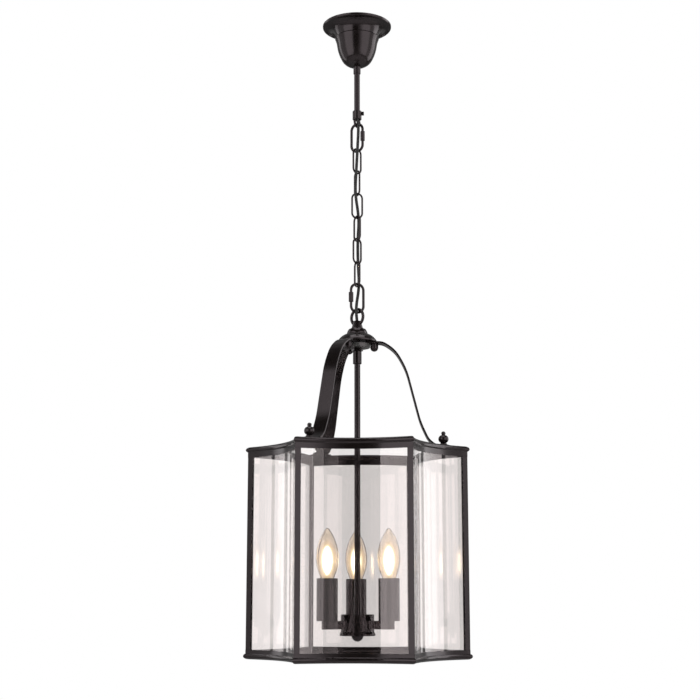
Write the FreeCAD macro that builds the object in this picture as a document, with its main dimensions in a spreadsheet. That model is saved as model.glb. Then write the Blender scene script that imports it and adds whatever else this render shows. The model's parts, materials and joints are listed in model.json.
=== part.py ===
import FreeCAD, Part

# Hexagonal glass lantern on a chain, in millimetres.
# The origin is the middle of the ceiling bracket's top face, +Z is up, and the lantern hangs below it.
# Every depth in the sheet is a distance below the ceiling, so its height in the model is negative.
# A corner of the hexagon, with a strap and a finial, points along +X.

import math
import os
import Sketcher
from FreeCAD import Placement, Rotation, Vector

SIZES = {
    # ceiling bracket and stem
    "bracket_length": 92, "bracket_width": 20, "bracket_thick": 2.5,
    "slot_spacing": 70, "slot_width": 5, "slot_length": 14,
    "stem_radius": 5, "stem_bore": 4.1, "stem_end": 162, "lock_nut_across": 17, "lock_nut_thick": 5,
    "window_half": 3.2, "window_top": 38, "window_end": 67,
    "block_start": 11, "block_length": 15, "block_width": 24, "block_height": 12,
    # canopy and its collar
    "rim_radius": 60, "rim_depth": 4.2, "cove_radius": 52, "bell_top_radius": 38.4, "bell_top": 23.5,
    "bell_waist_radius": 34.6, "bell_waist": 38, "bell_foot_radius": 27.1, "bell_foot": 61,
    "bell_end_radius": 9, "bell_end": 74.6, "canopy_end": 75, "canopy_hole": 5.25,
    "collar_radius": 6.3, "collar_end": 88.6, "collar_bore": 5.1,
    # stem loop
    "coupling_radius": 7.8, "coupling_top": 156.5, "coupling_end": 172.5, "stem_eye_radius": 8.2,
    "stem_eye_wire": 2.1, "stem_eye_depth": 176.85, "stem_eye_yaw": 62,
    # chain: half widths are from the link's middle line to the middle of its wire
    "link_gap": 0.3, "quick_length": 49.3, "quick_half": 11, "quick_wire": 2.25,
    "link_length": 43.5, "link_half": 8.8, "link_wire": 1.6,
    "sleeve_radius": 4, "sleeve_length": 16.5, "sleeve_bore": 2.33, "sleeve_drop": 15, "sleeve_travel": 7,
    # hub
    "hub_eye_radius": 13.5, "hub_eye_wire": 2.5, "neck_top": 529.5, "neck_end": 543.5,
    "tier_top_radius": 14, "tier_radius": 17.6, "tier_end": 552, "dome_top_radius": 20.5,
    "dome_radius": 32.8, "dome_end": 563.5, "dome_rim": 566, "sheet_wall": 1.2,
    "tube_radius": 5, "tube_bore": 3.3, "clearance_radius": 5.15, "plate_radius": 31, "plate_thick": 2.2,
    "boss_radius": 21.5, "boss_end": 575.4, "hub_nut_end": 581, "bolt_circle": 28.6, "bolt_radius": 2,
    "bolt_hole": 2.3, "cap_nut_radius": 6.8, "cap_nut_end": 582,
    # straps and finials
    "strap_width": 25, "strap_thick": 3, "strap_start": 14, "strap_end": 153, "foot_depth": 740,
    "finial_circle": 143, "finial_radius": 8.5, "finial_height": 22.6, "stud_radius": 2.4, "stud_hole": 2.6,
    # rod
    "rod_joint": 592, "coupling_end_low": 603, "rod_coupling_radius": 7.3, "rod_end": 1003,
    "rod_collar_top": 989, "rod_collar_radius": 6,
    # hexagonal body: the glass line's corners, and the middle of each concave side
    "corner_radius": 177, "side_middle": 133.1, "bead_radius": 5, "top_bead": 747.5, "bottom_bead": 1082.5,
    "rail_half": 3, "slot_half": 1.5, "glass_half": 1.2, "post_top": 760, "post_end": 1072.6,
    "glass_top": 752, "glass_end": 1079, "post_leg": 10, "tab_start": 127, "tab_half": 15, "tab_thick": 2,
    # lamp cluster
    "cup_top": 1016, "cup_end": 1044, "cup_radius": 27.3, "lid_radius": 29.2, "lid_end": 1050,
    "ball_radius": 9.8, "ball_end": 1059.3, "arm_top": 1026, "arm_end": 1039.2, "arm_half": 8.8,
    "arm_start": 21, "lamp_circle": 58, "candle_radius": 17.25, "candle_wall": 1.4, "candle_top": 958.5,
    "socket_radius": 12.5, "socket_top": 968, "socket_bore": 8.2, "socket_floor": 992,
    # candle bulb
    "bulb_tip": 878.2, "bulb_radius": 18.5, "bulb_middle": 926, "bulb_neck_radius": 11.2, "bulb_neck": 958,
    "bulb_end": 964, "bulb_wall": 0.8, "cap_radius": 6.9, "cap_flange": 11.4, "cap_end": 988.5,
    # supply cord
    "cord_radius": 2.5,
}
SEGMENT_YAWS = [-28, 45, -60, 12, -53, 45, -60, 20]     # top quick link, six links, bottom quick link
HUB_EYE_YAW = -42
LAMP_ANGLES = {"a": 94, "b": 214, "c": 334}
STRAP_ANGLES = {"a": 0, "b": 120, "c": 240}

document = FreeCAD.newDocument("hanging_lantern")
sheet = document.addObject("Spreadsheet::Sheet", "Sizes")
for row, (alias, length) in enumerate(SIZES.items(), start=1):
    sheet.set(f"A{row}", alias)
    sheet.set(f"B{row}", str(length))
    sheet.setAlias(f"B{row}", alias)
document.recompute()

nodes = []


class Size:
    """A length from the sheet: its value now, and the expression that keeps it live."""

    def __init__(self, value, text):
        self.value = value
        self.text = text

    def join(self, other, sign, result):
        text = other.text if isinstance(other, Size) else str(other)
        return Size(result, f"({self.text} {sign} {text})")

    def __add__(self, other):
        return self.join(other, "+", self.value + number(other))

    def __sub__(self, other):
        return self.join(other, "-", self.value - number(other))

    def __mul__(self, other):
        return self.join(other, "*", self.value * number(other))

    def __neg__(self):
        return Size(-self.value, f"(0 - {self.text})")


def number(item):
    return item.value if isinstance(item, Size) else item


def size(alias):
    return Size(float(sheet.get(alias)), f"Sizes.{alias}")


def depth(alias):
    """The height of a depth in the sheet."""
    return -size(alias)


def value(alias):
    return float(sheet.get(alias))


# ---------------------------------------------------------------- helpers: sketched bodies

def new_body(label):
    body = document.addObject("PartDesign::Body", label)
    body.Label = label
    nodes.append(body)
    return body


def new_sketch(body, plane, name, height=None):
    """A sketch on one of the body's own origin planes, lifted by height along the plane's normal."""
    sketch = body.newObject("Sketcher::SketchObject", name)
    sketch.AttachmentSupport = [(origin_plane(body, plane), "")]
    sketch.MapMode = "FlatFace"
    if height is not None:
        sketch.AttachmentOffset = Placement(Vector(0, 0, number(height)), Rotation())
        if isinstance(height, Size):
            sketch.setExpression("AttachmentOffset.Base.z", height.text)
    return sketch


def origin_plane(body, role):
    return next(f for f in body.Origin.OriginFeatures if f.Role == role)


def pin_point(sketch, geometry, end, x, y):
    """Holds one point of a sketch at x, y from the sketch's origin."""
    for item, kind, axis in ((x, "DistanceX", -2), (y, "DistanceY", -1)):
        if number(item) == 0:
            sketch.addConstraint(Sketcher.Constraint("PointOnObject", geometry, end, axis))
            continue
        index = sketch.addConstraint(Sketcher.Constraint(kind, -1, 1, geometry, end, number(item)))
        if isinstance(item, Size):
            sketch.setExpression(f"Constraints[{index}]", item.text)


def arc_between(start, end, radius):
    """The short arc from start to end, drawn anticlockwise as a sketch keeps it.
    A positive radius turns left on the way from start to end, a negative one right."""
    middle = (start + end) * 0.5
    run = end - start
    half = run.Length / 2
    side = Vector(-run.y, run.x, 0).normalize() * math.copysign(1, radius)
    centre = middle + side * math.sqrt(radius * radius - half * half)
    first = start if radius > 0 else end
    sweep = 2 * math.asin(half / abs(radius))
    angle = math.atan2(first.y - centre.y, first.x - centre.x)
    return Part.ArcOfCircle(Part.Circle(centre, Vector(0, 0, 1), abs(radius)), angle, angle + sweep)


def draw_outline(sketch, outline):
    """A closed outline of corners (x, y) or (x, y, radius); a radius rounds the stretch that ends there."""
    corners = [Vector(number(c[0]), number(c[1]), 0) for c in outline]
    edges = []
    firsts = []
    for i, corner in enumerate(outline):
        bend = corner[2:]
        start, end = corners[i - 1], corners[i]
        edges.append(arc_between(start, end, bend[0]) if bend else Part.LineSegment(start, end))
        firsts.append(2 if bend and bend[0] < 0 else 1)
    sketch.addGeometry(edges, False)
    for i, corner in enumerate(outline):
        sketch.addConstraint(Sketcher.Constraint("Coincident", i - 1 if i else len(outline) - 1,
                                                 3 - firsts[i - 1], i, firsts[i]))
        pin_point(sketch, i, firsts[i], *outline[i - 1][:2])
    for i, corner in enumerate(outline):
        if corner[2:]:
            sketch.addConstraint(Sketcher.Constraint("Radius", i, abs(corner[2])))


def draw_circle(sketch, x, y, radius):
    index = sketch.addGeometry(Part.Circle(Vector(number(x), number(y), 0), Vector(0, 0, 1), number(radius)))
    pin_point(sketch, index, 3, x, y)
    constraint = sketch.addConstraint(Sketcher.Constraint("Radius", index, number(radius)))
    if isinstance(radius, Size):
        sketch.setExpression(f"Constraints[{constraint}]", radius.text)


def revolve(body, outline, name="Turn"):
    """Turns a closed outline of (radius, height) about the body's Z axis."""
    sketch = new_sketch(body, "XZ_Plane", name + "Outline")
    draw_outline(sketch, outline)
    turn = body.newObject("PartDesign::Revolution", name)
    turn.Profile = sketch
    turn.ReferenceAxis = (sketch, ["V_Axis"])
    turn.Angle = 360
    return turn


def turned(label, outline, x=0, y=0):
    body = new_body(label)
    revolve(body, outline)
    body.Placement = Placement(Vector(x, y, 0), Rotation())
    return body


def pad(body, draw, length, base, name="Pad"):
    """Pads what draw puts in a sketch upwards from the height base."""
    sketch = new_sketch(body, "XY_Plane", name + "Outline", base)
    draw(sketch)
    feature = body.newObject("PartDesign::Pad", name)
    feature.Profile = sketch
    feature.Length = number(length)
    feature.setExpression("Length", length.text)
    return feature


def ring_pipe(body, path, wire, start, name="Wire"):
    """Round wire along a path in the body's XZ plane; the path starts at start and runs along Z there."""
    spine = new_sketch(body, "XZ_Plane", name + "Path")
    for edge in path:
        spine.addGeometry(edge, False)
    for i in range(len(path) - 1):
        spine.addConstraint(Sketcher.Constraint("Coincident", i, 2, i + 1, 1))
    section = new_sketch(body, "XY_Plane", name + "Section", start[1])
    draw_circle(section, start[0], 0, wire)
    pipe = body.newObject("PartDesign::AdditivePipe", name)
    pipe.Profile = section
    pipe.Spine = (spine, [f"Edge{i + 1}" for i in range(len(path))])
    return pipe


def shaped(label, shape, placement=None):
    """A node whose solid is worked out here, with its sizes read from the sheet."""
    node = document.addObject("Part::Feature", label)
    node.Label = label
    node.Shape = shape
    node.Placement = placement or Placement()
    nodes.append(node)
    return node


def around_z(angle):
    return Placement(Vector(), Rotation(Vector(0, 0, 1), angle))


def cylinder(radius, low, high, x=0.0, y=0.0):
    return Part.makeCylinder(radius, high - low, Vector(x, y, low))


def hexagon(across, low, high, x=0.0, y=0.0):
    corner = across / math.sqrt(3)
    points = [
        Vector(x + corner * math.cos(math.radians(60 * i)), y + corner * math.sin(math.radians(60 * i)), low)
        for i in range(7)
    ]
    return Part.Face(Part.makePolygon(points)).extrude(Vector(0, 0, high - low))


def around(shape, angles):
    """Copies of one solid turned about the Z axis, as one group."""
    return Part.makeCompound([turned_copy(shape, angle) for angle in angles])


def turned_copy(shape, angle):
    return shape.rotated(Vector(), Vector(0, 0, 1), angle)


# ---------------------------------------------------------------- supply cord's route

CORD_ROUTE = [
    (18.5, 0, -14.5), (18.5, 0, -33), (0, 0, -60), (0, 0, -162), (2.4, -7.7, -182), (0.9, -7, -227.6),
    (-1.1, -8.1, -267.3), (-2.9, -6.8, -307.3), (2.7, 7.3, -347.3), (0.5, 7.2, -387.3), (1, 7.5, -427.3),
    (2.8, 8, -467), (-1.6, -8.2, -511), (0, 0, -532.5), (0, 0, -1012),
]


def rounded_route(points):
    """Straight runs joined by tangent arcs, as large as 0.45 of the shorter run beside each point allows."""
    points = [Vector(*p) for p in points]
    edges = []
    here = points[0]
    for before, corner, after in zip(points, points[1:], points[2:]):
        back, ahead = before - corner, after - corner
        reach = 0.45 * min(back.Length, ahead.Length)
        start, end = corner + back.normalize() * reach, corner + ahead.normalize() * reach
        half_turn = (math.pi - back.getAngle(ahead)) / 2
        radius = reach / math.tan(half_turn)
        inward = (back + ahead).normalize() * (radius / math.cos(half_turn) - radius)
        print(f"cord arc radius {radius:.1f} mm")
        edges.append(Part.LineSegment(here, start).toShape())
        edges.append(Part.Arc(start, corner + inward, end).toShape())
        here = end
    edges.append(Part.LineSegment(here, points[-1]).toShape())
    return Part.Wire(edges)


def tube_along(wire, radius):
    start = wire.Edges[0]
    ahead = start.tangentAt(start.FirstParameter)
    profile = Part.Wire(Part.makeCircle(radius, start.Vertexes[0].Point, ahead))
    return wire.makePipeShell([profile], True, True)


def make_supply_cord():
    route = rounded_route(CORD_ROUTE)
    radius = value("cord_radius")
    cord = tube_along(route, radius)
    expected = math.pi * radius ** 2 * route.Length
    print(f"cord length {route.Length:.1f} mm, volume over section times length {cord.Volume / expected:.4f}")
    shaped("supply_cord", cord)
    return tube_along(route, radius + 0.5)


# ---------------------------------------------------------------- ceiling fittings

def make_ceiling_bracket():
    body = new_body("ceiling_bracket")

    def bar(sketch):
        half_x, half_y = size("bracket_length") * 0.5, size("bracket_width") * 0.5
        draw_outline(sketch, [(-half_x, -half_y), (half_x, -half_y), (half_x, half_y), (-half_x, half_y)])

    pad(body, bar, size("bracket_thick"), depth("bracket_thick"))
    holes = new_sketch(body, "XY_Plane", "Holes")
    draw_circle(holes, 0, 0, size("stem_radius"))
    for side in (-1, 1):
        middle = value("slot_spacing") / 2 * side
        reach = (value("slot_length") - value("slot_width")) / 2
        half = value("slot_width") / 2
        left, right = middle - reach, middle + reach
        slot = [
            Part.LineSegment(Vector(left, -half), Vector(right, -half)),
            Part.Arc(Vector(right, -half), Vector(right + half, 0), Vector(right, half)),
            Part.LineSegment(Vector(right, half), Vector(left, half)),
            Part.Arc(Vector(left, half), Vector(left - half, 0), Vector(left, -half)),
        ]
        for edge in slot:
            holes.addGeometry(edge, False)
    cut = body.newObject("PartDesign::Pocket", "HoleCut")
    cut.Profile = holes
    cut.Type = "ThroughAll"
    cut.Midplane = True


def make_stem():
    nut = hexagon(value("lock_nut_across"), -value("bracket_thick") - value("lock_nut_thick"),
                  -value("bracket_thick"))
    shaped("bracket_lock_nut", nut.cut(cylinder(value("stem_radius"), -20, 0)))
    block = document.addObject("Part::Box", "terminal_block")
    block.Label = "terminal_block"
    for name, alias in (("Length", "block_length"), ("Width", "block_width"), ("Height", "block_height")):
        block.setExpression(name, f"Sizes.{alias}")
    block.setExpression("Placement.Base.x", "Sizes.block_start")
    block.setExpression("Placement.Base.y", "-Sizes.block_width / 2")
    block.setExpression("Placement.Base.z", "-Sizes.bracket_thick - Sizes.block_height")
    nodes.append(block)
    tube = cylinder(value("stem_radius"), -value("stem_end"), 0).cut(
        cylinder(value("stem_bore"), -value("stem_end") - 1, 1))
    window_half, window_height = value("window_half"), value("window_end") - value("window_top")
    corner = Vector(0, -window_half, -value("window_end"))
    window = Part.makeBox(value("stem_radius") + 3, 2 * window_half, window_height, corner)
    shaped("stem_tube", tube.cut(window))


def make_canopy():
    wall = size("sheet_wall")
    turned("canopy", [
        (size("canopy_hole"), depth("canopy_end")),
        (size("bell_end_radius"), depth("bell_end")),
        (size("bell_foot_radius"), depth("bell_foot"), 24),
        (size("bell_waist_radius"), depth("bell_waist"), 70),
        (size("bell_top_radius"), depth("bell_top"), -50),
        (size("bell_top_radius") - 1, depth("bell_top") + 1.6),
        (size("cove_radius"), depth("rim_depth") + 0.9, -19),
        (size("rim_radius") - 5, depth("rim_depth") + 1.1),
        (size("rim_radius") - 4, depth("rim_depth")),
        (size("rim_radius") - 2, depth("rim_depth")),
        (size("rim_radius"), depth("rim_depth") + 2, 2),
        (size("rim_radius"), Size(0, "0")),
        (size("rim_radius") - wall * 3, Size(0, "0")),
        (size("cove_radius") - 2, depth("rim_depth") + 2.4),
        (size("bell_top_radius") + 2.2, Size(-8.5, "(0 - 8.5)")),
        (size("bell_top_radius") - 3, depth("bell_top") + 2),
        (size("bell_waist_radius") - wall * 1.5, depth("bell_waist")),
        (size("bell_foot_radius") - wall * 1.5, depth("bell_foot") + 0.5),
        (size("bell_end_radius"), depth("bell_end") + wall * 2),
        (size("canopy_hole"), depth("canopy_end") + wall * 2),
    ])
    turned("canopy_collar", [
        (size("collar_bore"), depth("collar_end")),
        (size("collar_radius") - 0.6, depth("collar_end")),
        (size("collar_radius"), depth("collar_end") + 0.8),
        (size("collar_radius"), depth("canopy_end")),
        (size("collar_bore"), depth("canopy_end")),
    ])
    screw_height, screw_radius = -82, 1.4
    screw = Part.makeCylinder(screw_radius, 3.2, Vector(0, 5.4, screw_height), Vector(0, 1, 0))
    shaped("collar_screw", screw)
    document.recompute()
    collar = next(n for n in nodes if n.Label == "canopy_collar")
    tapping = document.addObject("Part::Cylinder", "CollarTapping")
    tapping.Radius = screw_radius
    tapping.Height = 6
    tapping.Placement = Placement(Vector(0, 4, screw_height), Rotation(Vector(1, 0, 0), -90))
    drilled = document.addObject("Part::Cut", "DrilledCollar")
    drilled.Base = collar
    drilled.Tool = tapping
    replace_node(collar, drilled)


def replace_node(old, new):
    """The new object takes the old one's place and label in the list of nodes."""
    label = old.Label
    old.Label = label + "_blank"
    new.Label = label
    nodes[nodes.index(old)] = new


def make_stem_loop(cord_channel):
    radius, top, low = value("coupling_radius"), -value("coupling_top"), -value("coupling_end")
    solid = cylinder(radius, low, top)
    solid = solid.makeChamfer(0.9, [e for e in solid.Edges if e.Curve.TypeId == "Part::GeomCircle"])
    eye = Part.makeTorus(value("stem_eye_radius"), value("stem_eye_wire"),
                         Vector(0, 0, -value("stem_eye_depth")), Vector(0, 1, 0))
    solid = solid.fuse(turned_copy(eye, value("stem_eye_yaw")))
    bore = cylinder(value("stem_radius"), -value("stem_end"), top + 1)
    solid = solid.cut(bore).cut(cord_channel)
    screw_height, screw_radius, head_radius = -161, 1.5, 3.4
    screw_hole = Part.makeCylinder(screw_radius, 12, Vector(5.2, 0, screw_height), Vector(1, 0, 0))
    shaped("stem_loop", solid.cut(screw_hole).removeSplitter())
    shank = Part.makeCylinder(screw_radius, 4, Vector(5.3, 0, screw_height), Vector(1, 0, 0))
    head = Part.makeCylinder(head_radius, 4, Vector(radius + 0.1, 0, screw_height), Vector(1, 0, 0))
    shaped("stem_loop_screw", shank.fuse(head))


# ---------------------------------------------------------------- chain

def oval_path(half, length, low_start=None, high_end=None):
    """An oval in the XZ plane, its top at 0; with heights given it is open on its +X side between them."""
    top, bottom = -half, half - length
    right_start, right_end = (bottom + top) / 2, (bottom + top) / 2
    if low_start is not None:
        right_start, right_end = high_end, low_start
    return [
        Part.LineSegment(Vector(half, right_start, 0), Vector(half, top, 0)),
        Part.ArcOfCircle(Part.Circle(Vector(0, top, 0), Vector(0, 0, 1), half), 0, math.pi),
        Part.LineSegment(Vector(-half, top, 0), Vector(-half, bottom, 0)),
        Part.ArcOfCircle(Part.Circle(Vector(0, bottom, 0), Vector(0, 0, 1), half), math.pi, 2 * math.pi),
        Part.LineSegment(Vector(half, bottom, 0), Vector(half, right_end, 0)),
    ]


def make_link(label, half, length, wire, top, yaw, gap=None):
    body = new_body(label)
    path = oval_path(half, length, *(gap or (None, None)))
    ring_pipe(body, path, size(wire), (half, path[0].StartPoint.y))
    body.Placement = Placement(Vector(0, 0, top), Rotation(Vector(0, 0, 1), yaw))
    return body


def make_chain():
    """Hooks each link over the bottom of the one above, and returns the depth of every hinge."""
    hinge = -value("stem_eye_depth") - value("stem_eye_radius")
    above_wire = value("stem_eye_wire")
    hinges = [hinge]
    for i, yaw in enumerate(SEGMENT_YAWS):
        quick = i in (0, len(SEGMENT_YAWS) - 1)
        kind = "quick" if quick else "link"
        half, length, wire = value(f"{kind}_half"), value(f"{kind}_length"), value(f"{kind}_wire")
        top = hinge + above_wire + wire + value("link_gap")
        if quick:
            name = "top" if i == 0 else "bottom"
            side = 0 if i == 0 else 180
            gap_high = -value("sleeve_drop") - 2.5
            gap_low = gap_high - value("sleeve_travel") + 1.5
            make_link(f"{name}_quick_link", half, length, "quick_wire", top, yaw + side, (gap_low, gap_high))
            make_link_sleeve(f"{name}_link_sleeve", half, top, yaw + side)
        else:
            make_link(f"chain_link_{i}", half, length, "link_wire", top, yaw)
        hinge = top - length
        above_wire = wire
        hinges.append(hinge)
    return hinges


def make_link_sleeve(label, half, top, yaw):
    """A hexagonal nut sleeve that closes the quick link's gap."""
    high, radius = -value("sleeve_drop"), value("sleeve_radius")
    low = high - value("sleeve_length")
    sleeve = hexagon(1.9 * radius, low, high, half).common(cylinder(radius, low, high, half))
    sleeve = sleeve.cut(cylinder(value("sleeve_bore"), low - 1, high + 1, half))
    shaped(label, sleeve, Placement(Vector(0, 0, top), Rotation(Vector(0, 0, 1), yaw)))


# ---------------------------------------------------------------- hub

def make_hub(last_hinge, cord_channel):
    eye_top = last_hinge + value("quick_wire") + value("hub_eye_wire") + value("link_gap")
    eye_radius = value("hub_eye_radius")
    eye_centre = Vector(0, 0, eye_top - eye_radius)
    eye = Part.makeTorus(eye_radius, value("hub_eye_wire"), eye_centre, Vector(0, 1, 0))
    neck_top, neck_end = -value("neck_top"), -value("neck_end")
    neck = Part.makeCone(9.6, 6.4, neck_top - neck_end - 2, Vector(0, 0, neck_end + 2))
    neck = neck.fuse(cylinder(10.4, neck_end, neck_end + 2))
    loop = neck.fuse(turned_copy(eye, HUB_EYE_YAW))
    nipple_top = neck_end + 6.5
    loop = loop.cut(cylinder(value("tube_radius"), neck_end - 1, nipple_top)).cut(cord_channel)
    shaped("hub_loop", loop.removeSplitter())
    tube = cylinder(value("tube_radius"), -value("rod_joint"), nipple_top)
    shaped("hub_nipple", tube.cut(cylinder(value("tube_bore"), -value("rod_joint") - 1, nipple_top + 1)))

    hole, wall = size("clearance_radius"), size("sheet_wall")
    turned("hub_cap", [
        (hole, depth("neck_end")),
        (size("tier_top_radius"), depth("neck_end")),
        (size("tier_radius"), depth("tier_end"), -14),
        (size("dome_top_radius"), depth("tier_end") - 0.8),
        (size("dome_radius") - 0.6, depth("dome_end") + 0.8, -26),
        (size("dome_radius"), depth("dome_end")),
        (size("dome_radius"), depth("dome_rim")),
        (size("dome_radius") - wall * 1.3, depth("dome_rim")),
        (size("dome_radius") - wall * 1.3, depth("dome_end") - 0.4),
        (size("dome_top_radius") - 0.8, depth("tier_end") - wall * 1.9, 26),
        (size("tier_radius") - wall, depth("tier_end") - 0.2),
        (size("tier_top_radius") - wall, depth("neck_end") - wall),
        (hole, depth("neck_end") - wall),
    ])

    bolt_at = value("bolt_circle")
    rim = -value("dome_rim")
    plate_top = rim + value("plate_thick")
    strap_low = rim - value("strap_thick")
    plate = cylinder(value("plate_radius"), rim, plate_top).cut(cylinder(value("clearance_radius"), rim, 0))
    stud = cylinder(value("bolt_radius"), rim - 1, plate_top, bolt_at)
    shaped("hub_plate", plate.cut(around(stud, STRAP_ANGLES.values())))
    bolt_end = -value("cap_nut_end") + 3
    bolt = cylinder(value("bolt_radius"), bolt_end, plate_top, bolt_at)
    shaped("strap_bolts", around(bolt, STRAP_ANGLES.values()))
    make_cap_nuts(bolt_at, strap_low, bolt_end)

    boss = cylinder(value("boss_radius"), -value("boss_end"), strap_low)
    shaped("hub_boss", boss.cut(cylinder(value("clearance_radius"), -value("boss_end"), 0)))
    nut = hexagon(17, -value("hub_nut_end"), -value("boss_end"))
    shaped("hub_nut", nut.cut(cylinder(value("tube_radius"), -600, 0)))


def make_cap_nuts(bolt_at, top, bolt_end):
    """Domed nuts: a short hexagon with a round blind end below it."""
    radius, low = value("cap_nut_radius"), -value("cap_nut_end")
    ball = Part.makeSphere(radius, Vector(0, 0, low + radius))
    barrel = cylinder(radius, low + radius, top)
    nut = ball.fuse(barrel).common(cylinder(radius, low, top))
    nut = nut.cut(cylinder(value("bolt_radius"), bolt_end, 0))
    nut.translate(Vector(bolt_at, 0, 0))
    shaped("cap_nuts", around(nut, STRAP_ANGLES.values()))


# ---------------------------------------------------------------- straps and finials

def strap_line():
    """The strap's middle line from the hub to its foot, as (radius, height) corners."""
    half = value("strap_thick") / 2
    top, foot = -value("dome_rim") - half, -value("foot_depth") - half
    return [
        (value("strap_start"), top), (43, top), (64, top - 14), (82, top - 46),
        (105, foot + 38), (118, foot + 10), (130, foot), (value("strap_end"), foot),
    ]


def ribbon(points, reaches, thick):
    """A flat bar's side outline: straight runs joined by arcs whose tangent length is given at each bend."""
    points = [Vector(r, 0, z) for r, z in points]
    sides = ([], [])
    lasts = [None, None]
    normal_axis = Vector(0, 1, 0)

    def offset(point, direction, side):
        return point + direction.cross(normal_axis).normalize() * (side * thick / 2)

    here = points[0]
    for before, corner, after, reach in zip(points, points[1:], points[2:], reaches):
        back, ahead = (before - corner).normalize(), (after - corner).normalize()
        start, end = corner + back * reach, corner + ahead * reach
        half_turn = (math.pi - back.getAngle(ahead)) / 2
        radius = reach / math.tan(half_turn)
        middle_way = (back + ahead).normalize()
        centre = corner + middle_way * (radius / math.cos(half_turn))
        for i, side in enumerate((-1, 1)):
            first, last = offset(start, -back, side), offset(end, ahead, side)
            middle = centre - middle_way * (first - centre).Length
            line_from = lasts[i] or offset(here, -back, side)
            sides[i].append(Part.LineSegment(line_from, first).toShape())
            sides[i].append(Part.Arc(first, middle, last).toShape())
            lasts[i] = last
        here = end
    run = (points[-1] - here).normalize()
    for i, side in enumerate((-1, 1)):
        sides[i].append(Part.LineSegment(lasts[i], offset(points[-1], run, side)).toShape())
    first_run = (points[1] - points[0]).normalize()
    caps = [
        Part.LineSegment(offset(points[0], first_run, -1), offset(points[0], first_run, 1)).toShape(),
        Part.LineSegment(offset(points[-1], run, -1), offset(points[-1], run, 1)).toShape(),
    ]
    edges = Part.sortEdges(sides[0] + sides[1] + caps)[0]
    return Part.Face(Part.Wire(edges))


def make_straps():
    width, thick = value("strap_width"), value("strap_thick")
    face = ribbon(strap_line(), [7, 14, 17, 13, 6.5, 6], thick)
    face.translate(Vector(0, -width / 2, 0))
    strap = face.extrude(Vector(0, width, 0))
    foot = -value("foot_depth")
    hub_hole = cylinder(value("bolt_hole"), -580, -560, value("bolt_circle"))
    foot_hole = cylinder(value("stud_hole"), foot - 10, foot + 2, value("finial_circle"))
    half = width / 2
    round_end = cylinder(half, foot - 10, foot + 2, value("strap_end") - half)
    tip = Part.makeBox(half, width, 12, Vector(value("strap_end") - half, -half, foot - 10)).cut(round_end)
    strap = strap.cut(hub_hole).cut(foot_hole).cut(tip)
    for letter, angle in STRAP_ANGLES.items():
        shaped(f"strap_{letter}", strap, around_z(angle))


def make_finials():
    """Turned finials whose studs pass through the strap's foot and the frame's tab, and their nuts."""
    at, foot, height = value("finial_circle"), -value("foot_depth"), value("finial_height")
    widest = value("finial_radius")
    corners = [(0, foot), (6, foot), (6, foot + 1.6), (4.4, foot + 3.4)]
    edges = [Part.LineSegment(flat(a), flat(b)).toShape() for a, b in zip(corners, corners[1:])]
    shoulder, waist = (3, foot + height - 6.2), (3, foot + height - 5.4)
    brim, top = (0.6, foot + height), (0, foot + height)
    edges.append(Part.Arc(flat(corners[-1]), flat((widest, foot + 9.6)), flat(shoulder)).toShape())
    edges.append(Part.LineSegment(flat(shoulder), flat(waist)).toShape())
    edges.append(Part.Arc(flat(waist), flat((3.6, foot + height - 3.2)), flat(brim)).toShape())
    edges.append(Part.LineSegment(flat(brim), flat(top)).toShape())
    edges.append(Part.LineSegment(flat(top), flat(corners[0])).toShape())
    body = Part.Face(Part.Wire(edges)).revolve(Vector(), Vector(0, 0, 1), 360)
    stud_end = foot - 13
    finial = body.fuse(cylinder(value("stud_radius"), stud_end, foot + 1))
    finial.translate(Vector(at, 0, 0))
    shaped("strap_finials", around(finial, STRAP_ANGLES.values()))
    nut_top = foot - value("strap_thick") - value("tab_thick")
    nut = hexagon(8, nut_top - 4, nut_top, at).cut(cylinder(value("stud_radius"), stud_end, foot, at))
    shaped("finial_nuts", around(nut, STRAP_ANGLES.values()))


def flat(point):
    """A (radius, height) pair as a point of the XZ plane."""
    return Vector(point[0], 0, point[1])


# ---------------------------------------------------------------- rod and cluster

def make_rod():
    turned("rod_coupling", [
        (size("tube_radius"), depth("coupling_end_low")),
        (size("rod_coupling_radius") - 0.8, depth("coupling_end_low")),
        (size("rod_coupling_radius"), depth("coupling_end_low") + 0.8),
        (size("rod_coupling_radius"), depth("hub_nut_end") - 0.8),
        (size("rod_coupling_radius") - 0.8, depth("hub_nut_end")),
        (size("tube_radius"), depth("hub_nut_end")),
    ])
    turned("down_rod", [
        (size("tube_bore"), depth("rod_end")),
        (size("tube_radius"), depth("rod_end")),
        (size("tube_radius"), depth("rod_joint")),
        (size("tube_bore"), depth("rod_joint")),
    ])
    turned("rod_collar", [
        (size("tube_radius"), depth("cup_top")),
        (size("rod_collar_radius"), depth("cup_top")),
        (size("rod_collar_radius"), depth("rod_collar_top") - 0.6),
        (size("rod_collar_radius") - 0.6, depth("rod_collar_top")),
        (size("tube_radius"), depth("rod_collar_top")),
    ])
    turned("cluster_nipple", [
        (size("tube_bore"), depth("lid_end") - 4),
        (size("tube_radius"), depth("lid_end") - 4),
        (size("tube_radius"), depth("rod_end")),
        (size("tube_bore"), depth("rod_end")),
    ])


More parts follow.
